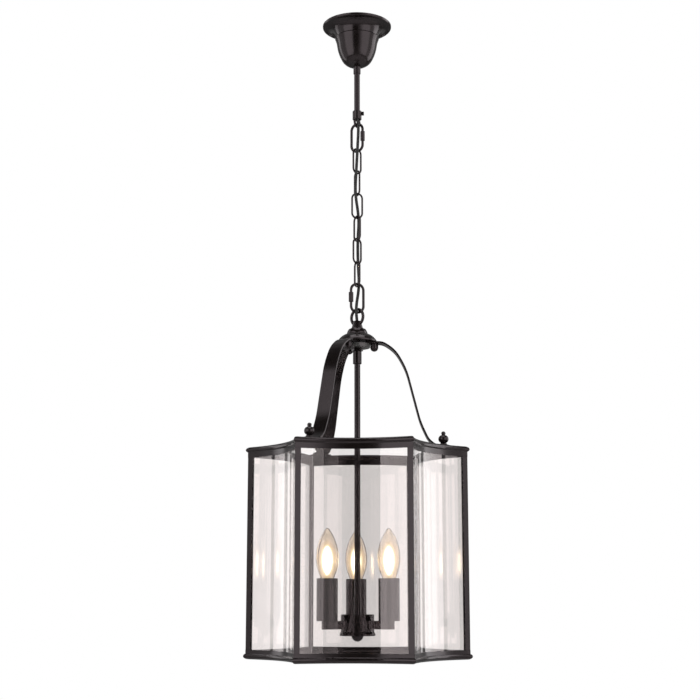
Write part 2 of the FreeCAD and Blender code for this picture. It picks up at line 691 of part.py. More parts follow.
def make_cluster():
    hole, wall = value("clearance_radius"), value("candle_wall")
    top, low, radius = -value("cup_top"), -value("cup_end"), value("cup_radius")
    cup = cylinder(radius, low, top)
    cup = cup.makeFillet(1.2, [e for e in cup.Edges if e.BoundBox.ZMin > top - 0.1])
    cup = cup.cut(cylinder(radius - wall, low - 1, top - wall)).cut(cylinder(hole, low, top + 1))
    arm = arm_solid()
    shaped("cluster_cup", cup.cut(around(arm_blank(), LAMP_ANGLES.values())))
    turned("cluster_lid", [
        (size("clearance_radius"), depth("lid_end")),
        (size("lid_radius"), depth("lid_end")),
        (size("lid_radius"), depth("lid_end") + 3.4),
        (size("lid_radius") - 1.6, depth("cup_end")),
        (size("clearance_radius"), depth("cup_end")),
    ])
    turned("cluster_finial", [
        (Size(0, "0"), depth("ball_end")),
        (size("ball_radius"), depth("lid_end"), 9.9),
        (size("tube_radius"), depth("lid_end")),
        (size("tube_radius"), depth("lid_end") - 4),
        (Size(0, "0"), depth("lid_end") - 4),
    ])
    shaped("cluster_arms", around(arm, LAMP_ANGLES.values()))


def arm_blank():
    """The outside of a short arm: a bar with a round end under its lamp."""
    low, high, half = -value("arm_end"), -value("arm_top"), value("arm_half")
    start, at = value("arm_start"), value("lamp_circle")
    bar = Part.makeBox(at - start, 2 * half, high - low, Vector(start, -half, low))
    return bar.fuse(cylinder(half, low, high, at)).removeSplitter()


def arm_solid():
    """The arm with its wire way and the tapped hole for the socket."""
    low, high, at = -value("arm_end"), -value("arm_top"), value("lamp_circle")
    middle, way = (low + high) / 2, 3.5
    channel = Part.makeCylinder(way, at - value("arm_start") + 1, Vector(value("arm_start") - 1, 0, middle),
                                Vector(1, 0, 0))
    return arm_blank().cut(channel).cut(cylinder(value("tube_radius"), middle, high + 1, at))


def make_lamps():
    at, wall = value("lamp_circle"), size("candle_wall")
    for letter, angle in LAMP_ANGLES.items():
        x, y = at * math.cos(math.radians(angle)), at * math.sin(math.radians(angle))
        floor = depth("arm_top") + wall
        turned(f"candle_sleeve_{letter}", [
            (size("clearance_radius"), depth("arm_top")),
            (size("candle_radius"), depth("arm_top")),
            (size("candle_radius"), depth("candle_top")),
            (size("candle_radius") - wall, depth("candle_top")),
            (size("candle_radius") - wall, floor),
            (size("clearance_radius"), floor),
        ], x, y)
        turned(f"bulb_cap_{letter}", [
            (Size(0, "0"), depth("cap_end")),
            (Size(2.6, "2.6"), depth("cap_end")),
            (Size(3.4, "3.4"), depth("cap_end") + 2.4),
            (size("cap_radius"), depth("cap_end") + 4.4),
            (size("cap_radius"), depth("bulb_end") - 3.4),
            (size("cap_flange"), depth("bulb_end") - 1.6),
            (size("cap_flange"), depth("bulb_end")),
            (Size(0, "0"), depth("bulb_end")),
        ], x, y)
        thin = size("bulb_wall")
        turned(f"bulb_glass_{letter}", [
            (size("bulb_neck_radius"), depth("bulb_end")),
            (size("bulb_neck_radius"), depth("bulb_neck")),
            (size("bulb_neck_radius") + 1.3, depth("bulb_neck") + 4),
            (size("bulb_radius"), depth("bulb_middle"), 68.3),
            (Size(2.6, "2.6"), depth("bulb_tip") - 0.7, 77.7),
            (Size(0.9, "0.9"), depth("bulb_tip")),
            (Size(0, "0"), depth("bulb_tip")),
            (Size(0, "0"), depth("bulb_tip") - thin),
            (Size(1.9, "1.9"), depth("bulb_tip") - 1.4),
            (size("bulb_radius") - thin, depth("bulb_middle"), -76.9),
            (size("bulb_neck_radius") + 0.5, depth("bulb_neck") + 4, -67.5),
            (size("bulb_neck_radius") - thin, depth("bulb_neck")),
            (size("bulb_neck_radius") - thin, depth("bulb_end")),
        ], x, y)
    socket = socket_solid()
    sockets = []
    for angle in LAMP_ANGLES.values():
        copy = socket.copy()
        copy.translate(Vector(at * math.cos(math.radians(angle)), at * math.sin(math.radians(angle)), 0))
        sockets.append(copy)
    shaped("lamp_sockets", Part.makeCompound(sockets))


def socket_solid():
    """A candle socket: a cup for the bulb's cap on a threaded stub that screws into the arm."""
    floor = -value("arm_top") + value("candle_wall")
    stub_end = -value("arm_top") - 6
    shell = cylinder(value("socket_radius"), floor, -value("socket_top"))
    stub = cylinder(value("tube_radius"), stub_end, floor)
    well = cylinder(value("socket_bore"), -value("socket_floor"), 0)
    wire_way = cylinder(value("tube_bore"), stub_end - 1, 0)
    return shell.fuse(stub).cut(well).cut(wire_way)


# ---------------------------------------------------------------- hexagonal body

def side_curve():
    """How far the middle of a side's circle lies from the lantern's axis, and that circle's radius."""
    corner, middle = value("corner_radius"), value("side_middle")
    reach, half = corner * math.cos(math.radians(30)), corner / 2
    sagitta = reach - middle
    radius = (half * half + sagitta * sagitta) / (2 * sagitta)
    return middle + radius, radius


def wedge(low, high):
    """A sixth of the plan, on the +X side, which mitres a side's ends."""
    far = 260.0
    side = far * math.tan(math.radians(30))
    points = [Vector(0, 0, low), Vector(far, -side, low), Vector(far, side, low), Vector(0, 0, low)]
    return Part.Face(Part.makePolygon(points)).extrude(Vector(0, 0, high - low))


def rail_side(bead_height, flange_end, slot_end):
    """One side of a rail: a round bead and a flange with the glass slot, bent to the side's circle."""
    centre, radius = side_curve()
    line = centre - radius
    bead = Part.Face(Part.Wire(Part.makeCircle(value("bead_radius"), Vector(line, 0, bead_height),
                                               Vector(0, -1, 0))))
    flange = upright(line, value("rail_half"), bead_height, flange_end)
    slot = upright(line, value("slot_half"), slot_end, flange_end)
    profile = bead.fuse(flange).removeSplitter().cut(slot)
    start = profile.Faces[0].rotated(Vector(centre, 0, 0), Vector(0, 0, 1), -32)
    solid = start.revolve(Vector(centre, 0, 0), Vector(0, 0, 1), 64)
    low, high = min(bead_height, flange_end) - 10, max(bead_height, flange_end) + 10
    return solid.common(wedge(low, high))


def upright(line, half, one_height, other_height):
    low, high = sorted((one_height, other_height))
    corners = [(line - half, low), (line + half, low), (line + half, high), (line - half, high)]
    return Part.Face(Part.makePolygon([flat(p) for p in corners + corners[:1]]))


def joined_sides(side):
    """Six sides, mitred at the corners and joined into one frame."""
    sides = [turned_copy(side, 30 + 60 * i) for i in range(6)]
    return sides[0].multiFuse(sides[1:]).removeSplitter()


def make_frames():
    top = joined_sides(rail_side(-value("top_bead"), -value("post_top"), -value("glass_top") + 0.6))
    tab_top = -value("foot_depth") - value("strap_thick")
    tab_low = tab_top - value("tab_thick")
    start, half = value("tab_start"), value("tab_half")
    reach = value("corner_radius") - start
    tab = Part.makeBox(reach, 2 * half, tab_top - tab_low, Vector(start, -half, tab_low))
    inside = glass_line_prism(tab_low, tab_top)
    hole = cylinder(value("stud_hole"), tab_low - 1, tab_top + 1, value("finial_circle"))
    tab = tab.common(inside).cut(hole)
    for angle in STRAP_ANGLES.values():
        top = top.fuse(turned_copy(tab, angle))
    shaped("top_frame", top)
    shaped("bottom_frame", joined_sides(rail_side(-value("bottom_bead"), -value("post_end"),
                                                  -value("glass_end"))))


def glass_line_prism(low, high):
    """The prism inside the glass line's six concave sides."""
    centre, radius = side_curve()
    half = math.degrees(math.asin(value("corner_radius") / 2 / radius))
    edges = []
    for i in range(6):
        turn = 30 + 60 * i
        middle = polar(centre, turn, low)
        ends = [middle - polar(radius, turn + step, 0) for step in (half, 0, -half)]
        edges.append(Part.Arc(*ends).toShape())
    return Part.Face(Part.Wire(Part.sortEdges(edges)[0])).extrude(Vector(0, 0, high - low))


def polar(radius, angle, height):
    return Vector(radius * math.cos(math.radians(angle)), radius * math.sin(math.radians(angle)), height)


def make_posts():
    """Nosed corner bars: the nose follows the rails' mitre, and a slot in each back face holds a pane."""
    centre, radius = side_curve()
    corner = value("corner_radius")
    bend = math.asin(corner / 2 / radius)
    lean = math.pi / 3 - bend
    inward = Vector(-math.cos(lean), math.sin(lean), 0)
    outward = Vector(math.sin(lean), math.cos(lean), 0)
    low, high = -value("post_end"), -value("post_top")
    nose = Vector(corner + value("rail_half") / math.sin(lean), 0, low)
    wing = nose + inward * value("post_leg")
    back = wing - outward * (2 * value("rail_half"))
    heel = Vector(back.x, max(back.y, 0.3), low)
    outline = [nose, wing, heel] + [Vector(p.x, -p.y, low) for p in (heel, wing)] + [nose]
    post = Part.Face(Part.makePolygon(outline)).extrude(Vector(0, 0, high - low))
    for side in (1, -1):
        first = Vector(corner, 0, low - 1) + turned_side(inward, side) * 3.0
        along, across = turned_side(inward, side) * 9, turned_side(outward, side) * value("slot_half")
        far = first + along
        points = [first - across, far - across, far + across, first + across, first - across]
        post = post.cut(Part.Face(Part.makePolygon(points)).extrude(Vector(0, 0, high - low + 2)))
    shaped("corner_posts", around(post, range(0, 360, 60)))


def turned_side(direction, side):
    return Vector(direction.x, direction.y * side, 0)


def make_panes():
    """Six bent panes, each held in the rails' slots and the posts' slots."""
    centre, radius = side_curve()
    half_angle = math.degrees(math.asin(value("corner_radius") / 2 / radius)) - math.degrees(3.4 / radius)
    low, high = -value("glass_end"), -value("glass_top")
    inner, outer = radius - value("glass_half"), radius + value("glass_half")
    ends = ((inner, half_angle), (inner, -half_angle), (outer, -half_angle), (outer, half_angle))
    corners = [polar(reach, 180 + turn, low) + Vector(centre, 0, 0) for reach, turn in ends]
    middles = [polar(r, 180, low) + Vector(centre, 0, 0) for r in (inner, outer)]
    edges = [
        Part.Arc(corners[0], middles[0], corners[1]).toShape(),
        Part.LineSegment(corners[1], corners[2]).toShape(),
        Part.Arc(corners[2], middles[1], corners[3]).toShape(),
        Part.LineSegment(corners[3], corners[0]).toShape(),
    ]
    pane = Part.Face(Part.Wire(edges)).extrude(Vector(0, 0, high - low))
    for i in range(6):
        shaped(f"glass_pane_{i + 1}", pane, around_z(30 + 60 * i))


# ---------------------------------------------------------------- build, check and write

def check_and_write():
    document.recompute()
    broken = [o.Label for o in document.Objects if "Invalid" in o.State or "Error" in o.State]
    if broken:
        raise SystemExit(f"these objects failed: {broken}")
    os.makedirs("parts", exist_ok=True)
    for node in nodes:
        shape = node.Shape
        if shape.isNull() or not shape.isValid() or not shape.Solids:
            raise SystemExit(f"{node.Label} has no valid solid")
        shape.exportStep(f"parts/{node.Label}.step")
    print(f"{len(nodes)} parts written")


make_ceiling_bracket()
make_stem()
channel = make_supply_cord()
make_canopy()
make_stem_loop(channel)
hinge_heights = make_chain()
print("hinge heights", [round(z, 3) for z in hinge_heights])
make_hub(hinge_heights[-1], channel)
make_straps()
make_finials()
make_rod()
make_cluster()
make_lamps()
make_frames()
make_posts()
make_panes()
check_and_write()
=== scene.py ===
"""Looks for the hanging lantern: materials, edge finish, supply cord, lit bulbs, light and camera."""
import json
import math

import bmesh
import bpy
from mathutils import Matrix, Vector


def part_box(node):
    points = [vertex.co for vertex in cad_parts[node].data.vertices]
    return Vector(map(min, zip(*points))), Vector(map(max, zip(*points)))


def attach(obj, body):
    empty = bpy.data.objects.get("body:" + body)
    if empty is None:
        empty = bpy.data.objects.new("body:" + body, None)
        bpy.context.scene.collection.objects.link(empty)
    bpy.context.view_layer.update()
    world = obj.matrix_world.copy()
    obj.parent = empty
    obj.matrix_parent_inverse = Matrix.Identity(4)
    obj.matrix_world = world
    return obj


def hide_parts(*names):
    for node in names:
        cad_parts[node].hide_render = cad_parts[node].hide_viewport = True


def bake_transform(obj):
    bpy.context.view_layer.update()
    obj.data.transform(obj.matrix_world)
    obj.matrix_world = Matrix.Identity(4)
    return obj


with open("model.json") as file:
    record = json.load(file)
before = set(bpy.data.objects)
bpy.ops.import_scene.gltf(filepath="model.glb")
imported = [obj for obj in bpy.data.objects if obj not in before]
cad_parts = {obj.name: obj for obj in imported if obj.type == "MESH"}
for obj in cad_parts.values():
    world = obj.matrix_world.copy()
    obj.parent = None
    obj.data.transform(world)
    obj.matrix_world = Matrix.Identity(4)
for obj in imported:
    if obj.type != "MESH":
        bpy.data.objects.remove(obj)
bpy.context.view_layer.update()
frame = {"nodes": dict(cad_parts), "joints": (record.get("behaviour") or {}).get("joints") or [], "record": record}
nodes = frame["nodes"]
slot_of = {row["node"]: row["material_slot"] for row in frame["record"]["subparts"]}
MM = 0.001
SHARP_FROM = math.radians(32)   # edges that turn by more than this stay sharp


# ---------------------------------------------------------------- node helpers

def link(tree, source, target):
    tree.links.new(source, target)


def object_space(tree, stretch=(1, 1, 1)):
    """The object's own coordinates in metres, scaled along each axis."""
    place = tree.nodes.new("ShaderNodeTexCoord")
    scale = tree.nodes.new("ShaderNodeMapping")
    scale.inputs["Scale"].default_value = stretch
    link(tree, place.outputs["Object"], scale.inputs["Vector"])
    return scale.outputs["Vector"]


def noise(tree, size, detail=2.0, roughness=0.5, stretch=(1, 1, 1)):
    """Noise whose features are about size metres across."""
    texture = tree.nodes.new("ShaderNodeTexNoise")
    texture.inputs["Scale"].default_value = 1 / size
    texture.inputs["Detail"].default_value = detail
    texture.inputs["Roughness"].default_value = roughness
    link(tree, object_space(tree, stretch), texture.inputs["Vector"])
    return texture.outputs["Fac"]


def remap(tree, source, low, high, start=0.3, end=0.7):
    """Takes start..end of a value to low..high, held at the ends."""
    node = tree.nodes.new("ShaderNodeMapRange")
    for name, value in (("From Min", start), ("From Max", end), ("To Min", low), ("To Max", high)):
        node.inputs[name].default_value = value
    link(tree, source, node.inputs["Value"])
    return node.outputs["Result"]


def two_tones(tree, factor, first, second):
    """A colour between two, chosen by a value from 0 to 1."""
    node = tree.nodes.new("ShaderNodeMix")
    node.data_type = "RGBA"
    link(tree, factor, node.inputs["Factor"])
    node.inputs["A"].default_value = (*first, 1)
    node.inputs["B"].default_value = (*second, 1)
    return node.outputs["Result"]


def bump(tree, height, distance):
    """A surface normal tilted by a height that runs over distance metres."""
    node = tree.nodes.new("ShaderNodeBump")
    node.inputs["Strength"].default_value = 1.0
    node.inputs["Distance"].default_value = distance
    link(tree, height, node.inputs["Height"])
    return node.outputs["Normal"]


def calculate(tree, operation, *values):
    """One step of arithmetic on values that are each a number or another node's output."""
    node = tree.nodes.new("ShaderNodeMath")
    node.operation = operation
    for socket, value in zip(node.inputs, values):
        if isinstance(value, (int, float)):
            socket.default_value = value
        else:
            link(tree, value, socket)
    return node.outputs[0]


def new_material(name, **sockets):
    """A material with one Principled shader whose sockets are set by name, with _ for a space."""
    made = bpy.data.materials.new(name)
    made.use_nodes = True
    shader = made.node_tree.nodes["Principled BSDF"]
    for socket, value in sockets.items():
        shader.inputs[socket.replace("_", " ")].default_value = value
    return made, made.node_tree, shader


# ---------------------------------------------------------------- materials

SPECK_SHARE = 0.35   # of the paint's change in tone, the part that is fine specks
ORANGE_PEEL = 0.021 * MM


def painted_metal(name, dark, light, rough=(0.15, 0.23)):
    """Sprayed satin paint: a faint drift of tone, fine orange peel and an uneven sheen."""
    made, tree, shader = new_material(name, Specular_Tint=(1.0, 0.85, 0.90, 1))
    drift = noise(tree, 0.045, 3)
    speck = noise(tree, 0.0012, 2)
    tone = calculate(tree, "MULTIPLY_ADD", speck, SPECK_SHARE, remap(tree, drift, 0.0, 1 - SPECK_SHARE))
    link(tree, two_tones(tree, tone, dark, light), shader.inputs["Base Color"])
    link(tree, remap(tree, noise(tree, 0.012, 4), *rough), shader.inputs["Roughness"])
    link(tree, bump(tree, noise(tree, 0.0016, 2), ORANGE_PEEL), shader.inputs["Normal"])
    return made


def bare_steel(name, colour, rough, size=0.0006):
    """Plain plated steel with a fine brushed grain."""
    made, tree, shader = new_material(name, Metallic=1.0)
    grain = noise(tree, size, 3, stretch=(1, 1, 0.08))
    darker = tuple(0.8 * part for part in colour)
    link(tree, two_tones(tree, grain, darker, colour), shader.inputs["Base Color"])
    link(tree, remap(tree, grain, rough - 0.08, rough + 0.08), shader.inputs["Roughness"])
    link(tree, bump(tree, grain, 0.00003), shader.inputs["Normal"])
    return made


def plastic(name, colour, rough):
    """Moulded plastic with a slight mottle and spark-eroded grain."""
    made, tree, shader = new_material(name)
    mottle = noise(tree, 0.006, 3)
    darker = tuple(0.82 * part for part in colour)
    link(tree, two_tones(tree, mottle, darker, colour), shader.inputs["Base Color"])
    link(tree, remap(tree, mottle, rough - 0.06, rough + 0.06), shader.inputs["Roughness"])
    link(tree, bump(tree, noise(tree, 0.0005, 2), 0.00004), shader.inputs["Normal"])
    return made


def cord_sheath(name):
    """A matt rubbery sheath with faint drawn lines along it and a little dust."""
    made, tree, shader = new_material(name)
    dust = noise(tree, 0.004, 4)
    link(tree, two_tones(tree, remap(tree, dust, 0, 1), (0.012, 0.011, 0.011), (0.028, 0.026, 0.025)),
         shader.inputs["Base Color"])
    link(tree, remap(tree, dust, 0.42, 0.58), shader.inputs["Roughness"])
    lines = noise(tree, 0.0007, 2, stretch=(1, 1, 0.03))
    link(tree, bump(tree, lines, 0.00008), shader.inputs["Normal"])
    return made


def clear_glass(name, tint, shade, rough=(0.0, 0.012), wave=0.0, index=1.46):
    """Clear glass that lets the lamps' and studio's light through without a hard shadow."""
    made, tree, shader = new_material(name, Transmission_Weight=1.0, IOR=index,
                                      Specular_Tint=(1.0, 0.9, 0.9, 1))
    smear = remap(tree, noise(tree, 0.03, 3), 0, 1)
    smeared = tuple(0.985 * part for part in tint)
    link(tree, two_tones(tree, smear, tint, smeared), shader.inputs["Base Color"])
    link(tree, remap(tree, noise(tree, 0.05, 4), *rough), shader.inputs["Roughness"])
    if wave:
        link(tree, bump(tree, noise(tree, 0.09, 1, stretch=(1, 1, 0.3)), wave), shader.inputs["Normal"])
    light = tree.nodes.new("ShaderNodeLightPath")
    clear = tree.nodes.new("ShaderNodeBsdfTransparent")
    clear.inputs["Color"].default_value = (*shade, 1)
    mix = tree.nodes.new("ShaderNodeMixShader")
    link(tree, light.outputs["Is Shadow Ray"], mix.inputs[0])
    link(tree, shader.outputs[0], mix.inputs[1])
    link(tree, clear.outputs[0], mix.inputs[2])
    link(tree, mix.outputs[0], tree.nodes["Material Output"].inputs["Surface"])
    return made


def glow(name, colour, strength, alpha):
    """A thin veil of light; several, one inside the next, fade out around a lit filament."""
    made, _, _ = new_material(name, Base_Color=(0, 0, 0, 1), Roughness=1.0, Specular_IOR_Level=0.0,
                              Emission_Color=(*colour, 1), Emission_Strength=strength, Alpha=alpha)
    return made


PAINTS = {
    "dark_metal": painted_metal("satin_black_bronze", (0.0048, 0.0034, 0.0031), (0.0082, 0.0060, 0.0054)),
    "boss_grey": painted_metal("satin_grey", (0.085, 0.083, 0.080), (0.125, 0.122, 0.118)),
    "plain_steel": bare_steel("zinc_steel", (0.66, 0.66, 0.65), 0.34),
    "terminal_plastic": plastic("terminal_white", (0.78, 0.77, 0.73), 0.5),
    "socket_plastic": plastic("socket_black", (0.03, 0.03, 0.03), 0.45),
    "cord_rubber": cord_sheath("cord_sheath"),
    "bulb_cap": bare_steel("cap_nickel", (0.80, 0.78, 0.74), 0.28),
    "bulb_glass": clear_glass("bulb_clear", (0.96, 0.90, 0.82), (0.98, 0.95, 0.90)),
    "pane_glass": clear_glass("pane_clear", (0.885, 0.848, 0.838), (0.83, 0.80, 0.79),
                              wave=0.2 * MM, index=1.7),
}


# ---------------------------------------------------------------- CAD nodes: shading and edges

def crisp_shading():
    """A node group that joins a mesh's coincident points and shades it smooth up to its sharp edges."""
    group = bpy.data.node_groups.new("crisp_shading", "GeometryNodeTree")
    group.interface.new_socket("Geometry", in_out="INPUT", socket_type="NodeSocketGeometry")
    group.interface.new_socket("Geometry", in_out="OUTPUT", socket_type="NodeSocketGeometry")
    start, end = group.nodes.new("NodeGroupInput"), group.nodes.new("NodeGroupOutput")
    weld = group.nodes.new("GeometryNodeMergeByDistance")
    weld.inputs["Distance"].default_value = 0.01 * MM
    smooth = group.nodes.new("GeometryNodeSetShadeSmooth")
    smooth.domain = "FACE"
    angle = group.nodes.new("GeometryNodeInputMeshEdgeAngle")
    sharp = group.nodes.new("FunctionNodeCompare")
    sharp.data_type, sharp.operation = "FLOAT", "GREATER_THAN"
    sharp.inputs[1].default_value = SHARP_FROM
    crease = group.nodes.new("GeometryNodeSetShadeSmooth")
    crease.domain = "EDGE"
    crease.inputs["Shade Smooth"].default_value = False
    link(group, start.outputs[0], weld.inputs["Geometry"])
    link(group, weld.outputs[0], smooth.inputs["Geometry"])
    link(group, smooth.outputs[0], crease.inputs["Geometry"])
    link(group, angle.outputs["Unsigned Angle"], sharp.inputs[0])
    link(group, sharp.outputs[0], crease.inputs["Selection"])
    link(group, crease.outputs[0], end.inputs[0])
    return group


CRISP = crisp_shading()
STRAPS = ("strap_a", "strap_b", "strap_c")
STRAP_EDGE = 0.9 * MM
EDGE = 0.35 * MM
EDGE_BY_SLOT = {"pane_glass": 0.25 * MM, "bulb_glass": 0, "cord_rubber": 0}   # others have EDGE


def dress(node):
    """Gives a CAD node its material, clean shading and softened edges."""
    piece, slot = nodes[node], slot_of[node]
    piece.data.materials.clear()
    piece.data.materials.append(PAINTS[slot])
    shading = piece.modifiers.new("shading", "NODES")
    shading.node_group = CRISP
    width = STRAP_EDGE if node in STRAPS else EDGE_BY_SLOT.get(slot, EDGE)
    if width:
        edge = piece.modifiers.new("edges", "BEVEL")
        edge.width = width
        edge.segments = 2
        edge.limit_method = "ANGLE"
        edge.angle_limit = SHARP_FROM
        edge.harden_normals = True


for node in nodes:
    dress(node)


# ---------------------------------------------------------------- supply cord

CORD_RADIUS = 2.5 * MM
CORD_STEPS = 10           # points along the curve for each point of the route
CORD_POINTS = [   # in mm; CAD's route, with a few points moved or added
    (18.5, 0, -14.5), (18.5, 0, -36), (0, 0, -62), (0, 0, -94), (0, 0, -158), (0.8, -3.5, -172),
    (3, -9.4, -188), (0.9, -7, -227.6), (-1.1, -8.4, -267.3), (-3.4, -8.6, -307.3), (3.2, 9.2, -347.3),
    (0.5, 7.2, -387.3), (1, 7.5, -427.3), (3.4, 10.2, -467), (-2.2, -10.6, -509), (0, 0, -532.5),
    (0, 0, -557), (0, 0, -1012),
]


def spline_points(points, resolution):
    """Points along the smooth curve that a route controls, read from a NURBS spline with no bevel."""
    curve = bpy.data.curves.new("route", "CURVE")
    curve.dimensions = "3D"
    curve.resolution_u = resolution
    spline = curve.splines.new("NURBS")
    spline.points.add(len(points) - 1)
    for target, point in zip(spline.points, points):
        target.co = (*(MM * part for part in point), 1)
    spline.order_u = 3
    spline.use_endpoint_u = True
    holder = bpy.data.objects.new("route", curve)
    bpy.context.scene.collection.objects.link(holder)
    line = bpy.data.meshes.new_from_object(holder)
    found = [vertex.co.copy() for vertex in line.vertices]
    bpy.data.objects.remove(holder)
    return found


def tube(name, centres, normals, radius, sides=20):
    """A closed tube around centres, each ring square to the line there."""
    mesh = bmesh.new()
    rings = []
    for centre, (side, across) in zip(centres, normals):
        turns = [2 * math.pi * k / sides for k in range(sides)]
        rings.append([mesh.verts.new(centre + radius * (math.cos(a) * side + math.sin(a) * across))
                      for a in turns])
    for low, high in zip(rings, rings[1:]):
        for k in range(sides):
            mesh.faces.new((low[k], low[(k + 1) % sides], high[(k + 1) % sides], high[k]))
    mesh.faces.new(rings[0][::-1])
    mesh.faces.new(rings[-1])
    bmesh.ops.recalc_face_normals(mesh, faces=mesh.faces)
    return finish_mesh(name, mesh)


def finish_mesh(name, mesh, material=None):
    """Puts a mesh in the scene as an object, smooth but for its flat ends."""
    data = bpy.data.meshes.new(name)
    mesh.to_mesh(data)
    mesh.free()
    for face in data.polygons:
        face.use_smooth = len(face.vertices) <= 4
    made = bpy.data.objects.new(name, data)
    bpy.context.scene.collection.objects.link(made)
    if material:
        data.materials.append(material)
    return made


def carried_frames(points):
    """For each point, two directions square to the line that turn as little as they can along it."""
    frames, side = [], Vector((1, 0, 0))
    for k in range(len(points)):
        ahead = (points[min(k + 1, len(points) - 1)] - points[max(k - 1, 0)]).normalized()
        side = (side - side.dot(ahead) * ahead).normalized()
        frames.append((side, ahead.cross(side)))
    return frames


def make_cord():
    """The cord in one length per pair of joined bodies, cut half way along each link."""
    points = spline_points(CORD_POINTS, CORD_STEPS)
    normals = carried_frames(points)
    hinges = [joint for joint in frame["joints"] if joint["type"] == "hinge"]
    heights = [joint["pos_m"][2] for joint in hinges]
    cuts = [0.5 * (a + b) for a, b in zip(heights, heights[1:])]
    nearest = [min(range(len(points)), key=lambda k: abs(points[k].z - cut)) for cut in cuts]
    marks = [0, *nearest, len(points) - 1]
    for k, joint in enumerate(hinges):
        first, last = marks[k], marks[k + 1]
        piece = tube(f"supply_cord_{k + 1}", points[first:last + 1], normals[first:last + 1], CORD_RADIUS)
        piece.data.materials.append(PAINTS["cord_rubber"])
        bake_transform(piece)
        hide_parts("supply_cord")


make_cord()


# ---------------------------------------------------------------- lit bulbs

def lathe(mesh, outline, centre, sides=32, slot=0):
    """Turns (radius, height) pairs about a vertical line through centre."""
    rings = []
    for radius, height in outline:
        if radius == 0:
            rings.append([mesh.verts.new(centre + Vector((0, 0, height)))])
            continue
        turns = [2 * math.pi * k / sides for k in range(sides)]
        rings.append([mesh.verts.new(centre + Vector((radius * math.cos(a), radius * math.sin(a), height)))
                      for a in turns])
    skin(mesh, rings, sides, slot)


def skin(mesh, rings, sides, slot):
    """Faces between each ring and the next; a ring may be a single point."""
    for low, high in zip(rings, rings[1:]):
        for k in range(sides):
            n = (k + 1) % sides
            corners = [low[k % len(low)], low[n % len(low)], high[n % len(high)], high[k % len(high)]]
            face = mesh.faces.new(list(dict.fromkeys(corners)))
            face.material_index = slot


def spindle(radius, half, steps=16):
    """The outline of a glow: round in the middle and drawn in towards both ends, about the height 0."""
    outline = []
    for k in range(steps + 1):
        rise = -math.cos(math.pi * k / steps)
        outline.append((radius * (1 - rise * rise) ** 0.62 if 0 < k < steps else 0, half * rise))
    return outline


FILAMENTS = 4
FILAMENT = {"radius": 1.0 * MM, "length": 30 * MM, "spread_low": 4.4 * MM, "spread_high": 2.2 * MM}
FILAMENT_TURN = 0.3             # of the angle from one filament to the next
LEAD_RADIUS = 0.25 * MM
LEAD_DROP = 9 * MM              # from a filament's foot down to its lead's foot
LEAD_DRAW = 2.4 * MM            # how far a lead's foot is drawn in under the filament's
LEAD_TOP_RISE = 3 * MM          # of the point where the filaments' upper leads meet
GLOW_RISE = 34 * MM             # of the filaments' middle above the bulb glass's lowest point
STEM = [   # radius and height in mm
    (0, 0), (7.0, 0), (6.0, 3), (3.2, 8), (2.2, 14), (2.6, 16), (2.0, 18), (0, 18.6),
]
STEM_RISE = 0.4 * MM
GLOWS = [   # radius and half height in mm, colour, strength, share covered
    (8.4, 23, (1.0, 0.93, 0.74), 12.0, 0.50),
    (10.8, 26, (1.0, 0.89, 0.64), 2.2, 0.38),
    (13.4, 29, (1.0, 0.82, 0.55), 1.3, 0.28),
    (16.0, 32, (1.0, 0.74, 0.48), 1.05, 0.22),
]
GLOW_PAINTS = [glow(f"lamp_glow_{k + 1}", *look) for k, (_, _, *look) in enumerate(GLOWS)]
FILAMENT_PAINT = glow("filament_light", (1.0, 0.80, 0.48), 60.0, 1.0)
STEM_GLASS = clear_glass("stem_clear", (0.99, 0.96, 0.90), (0.97, 0.95, 0.9))
LEAD_WIRE = bare_steel("lead_wire", (0.72, 0.62, 0.45), 0.3)


def rod(mesh, start, end, radius, sides=10, slot=0):
    """A round rod with domed ends between two points."""
    axis = (end - start).normalized()
    side = axis.orthogonal().normalized()
    across = axis.cross(side)
    reach = (end - start).length
    outline = [(0.0, 0.0), (0.7, 0.25 * radius), (1.0, 0.8 * radius), (1.0, reach - 0.8 * radius),
               (0.7, reach - 0.25 * radius), (0.0, reach)]
    rings = []
    for share, along in outline:
        centre = start + along * axis
        turns = [2 * math.pi * k / sides for k in range(sides if share else 1)]
        rings.append([mesh.verts.new(centre + share * radius * (math.cos(a) * side + math.sin(a) * across))
                      for a in turns])
    skin(mesh, rings, sides, slot)


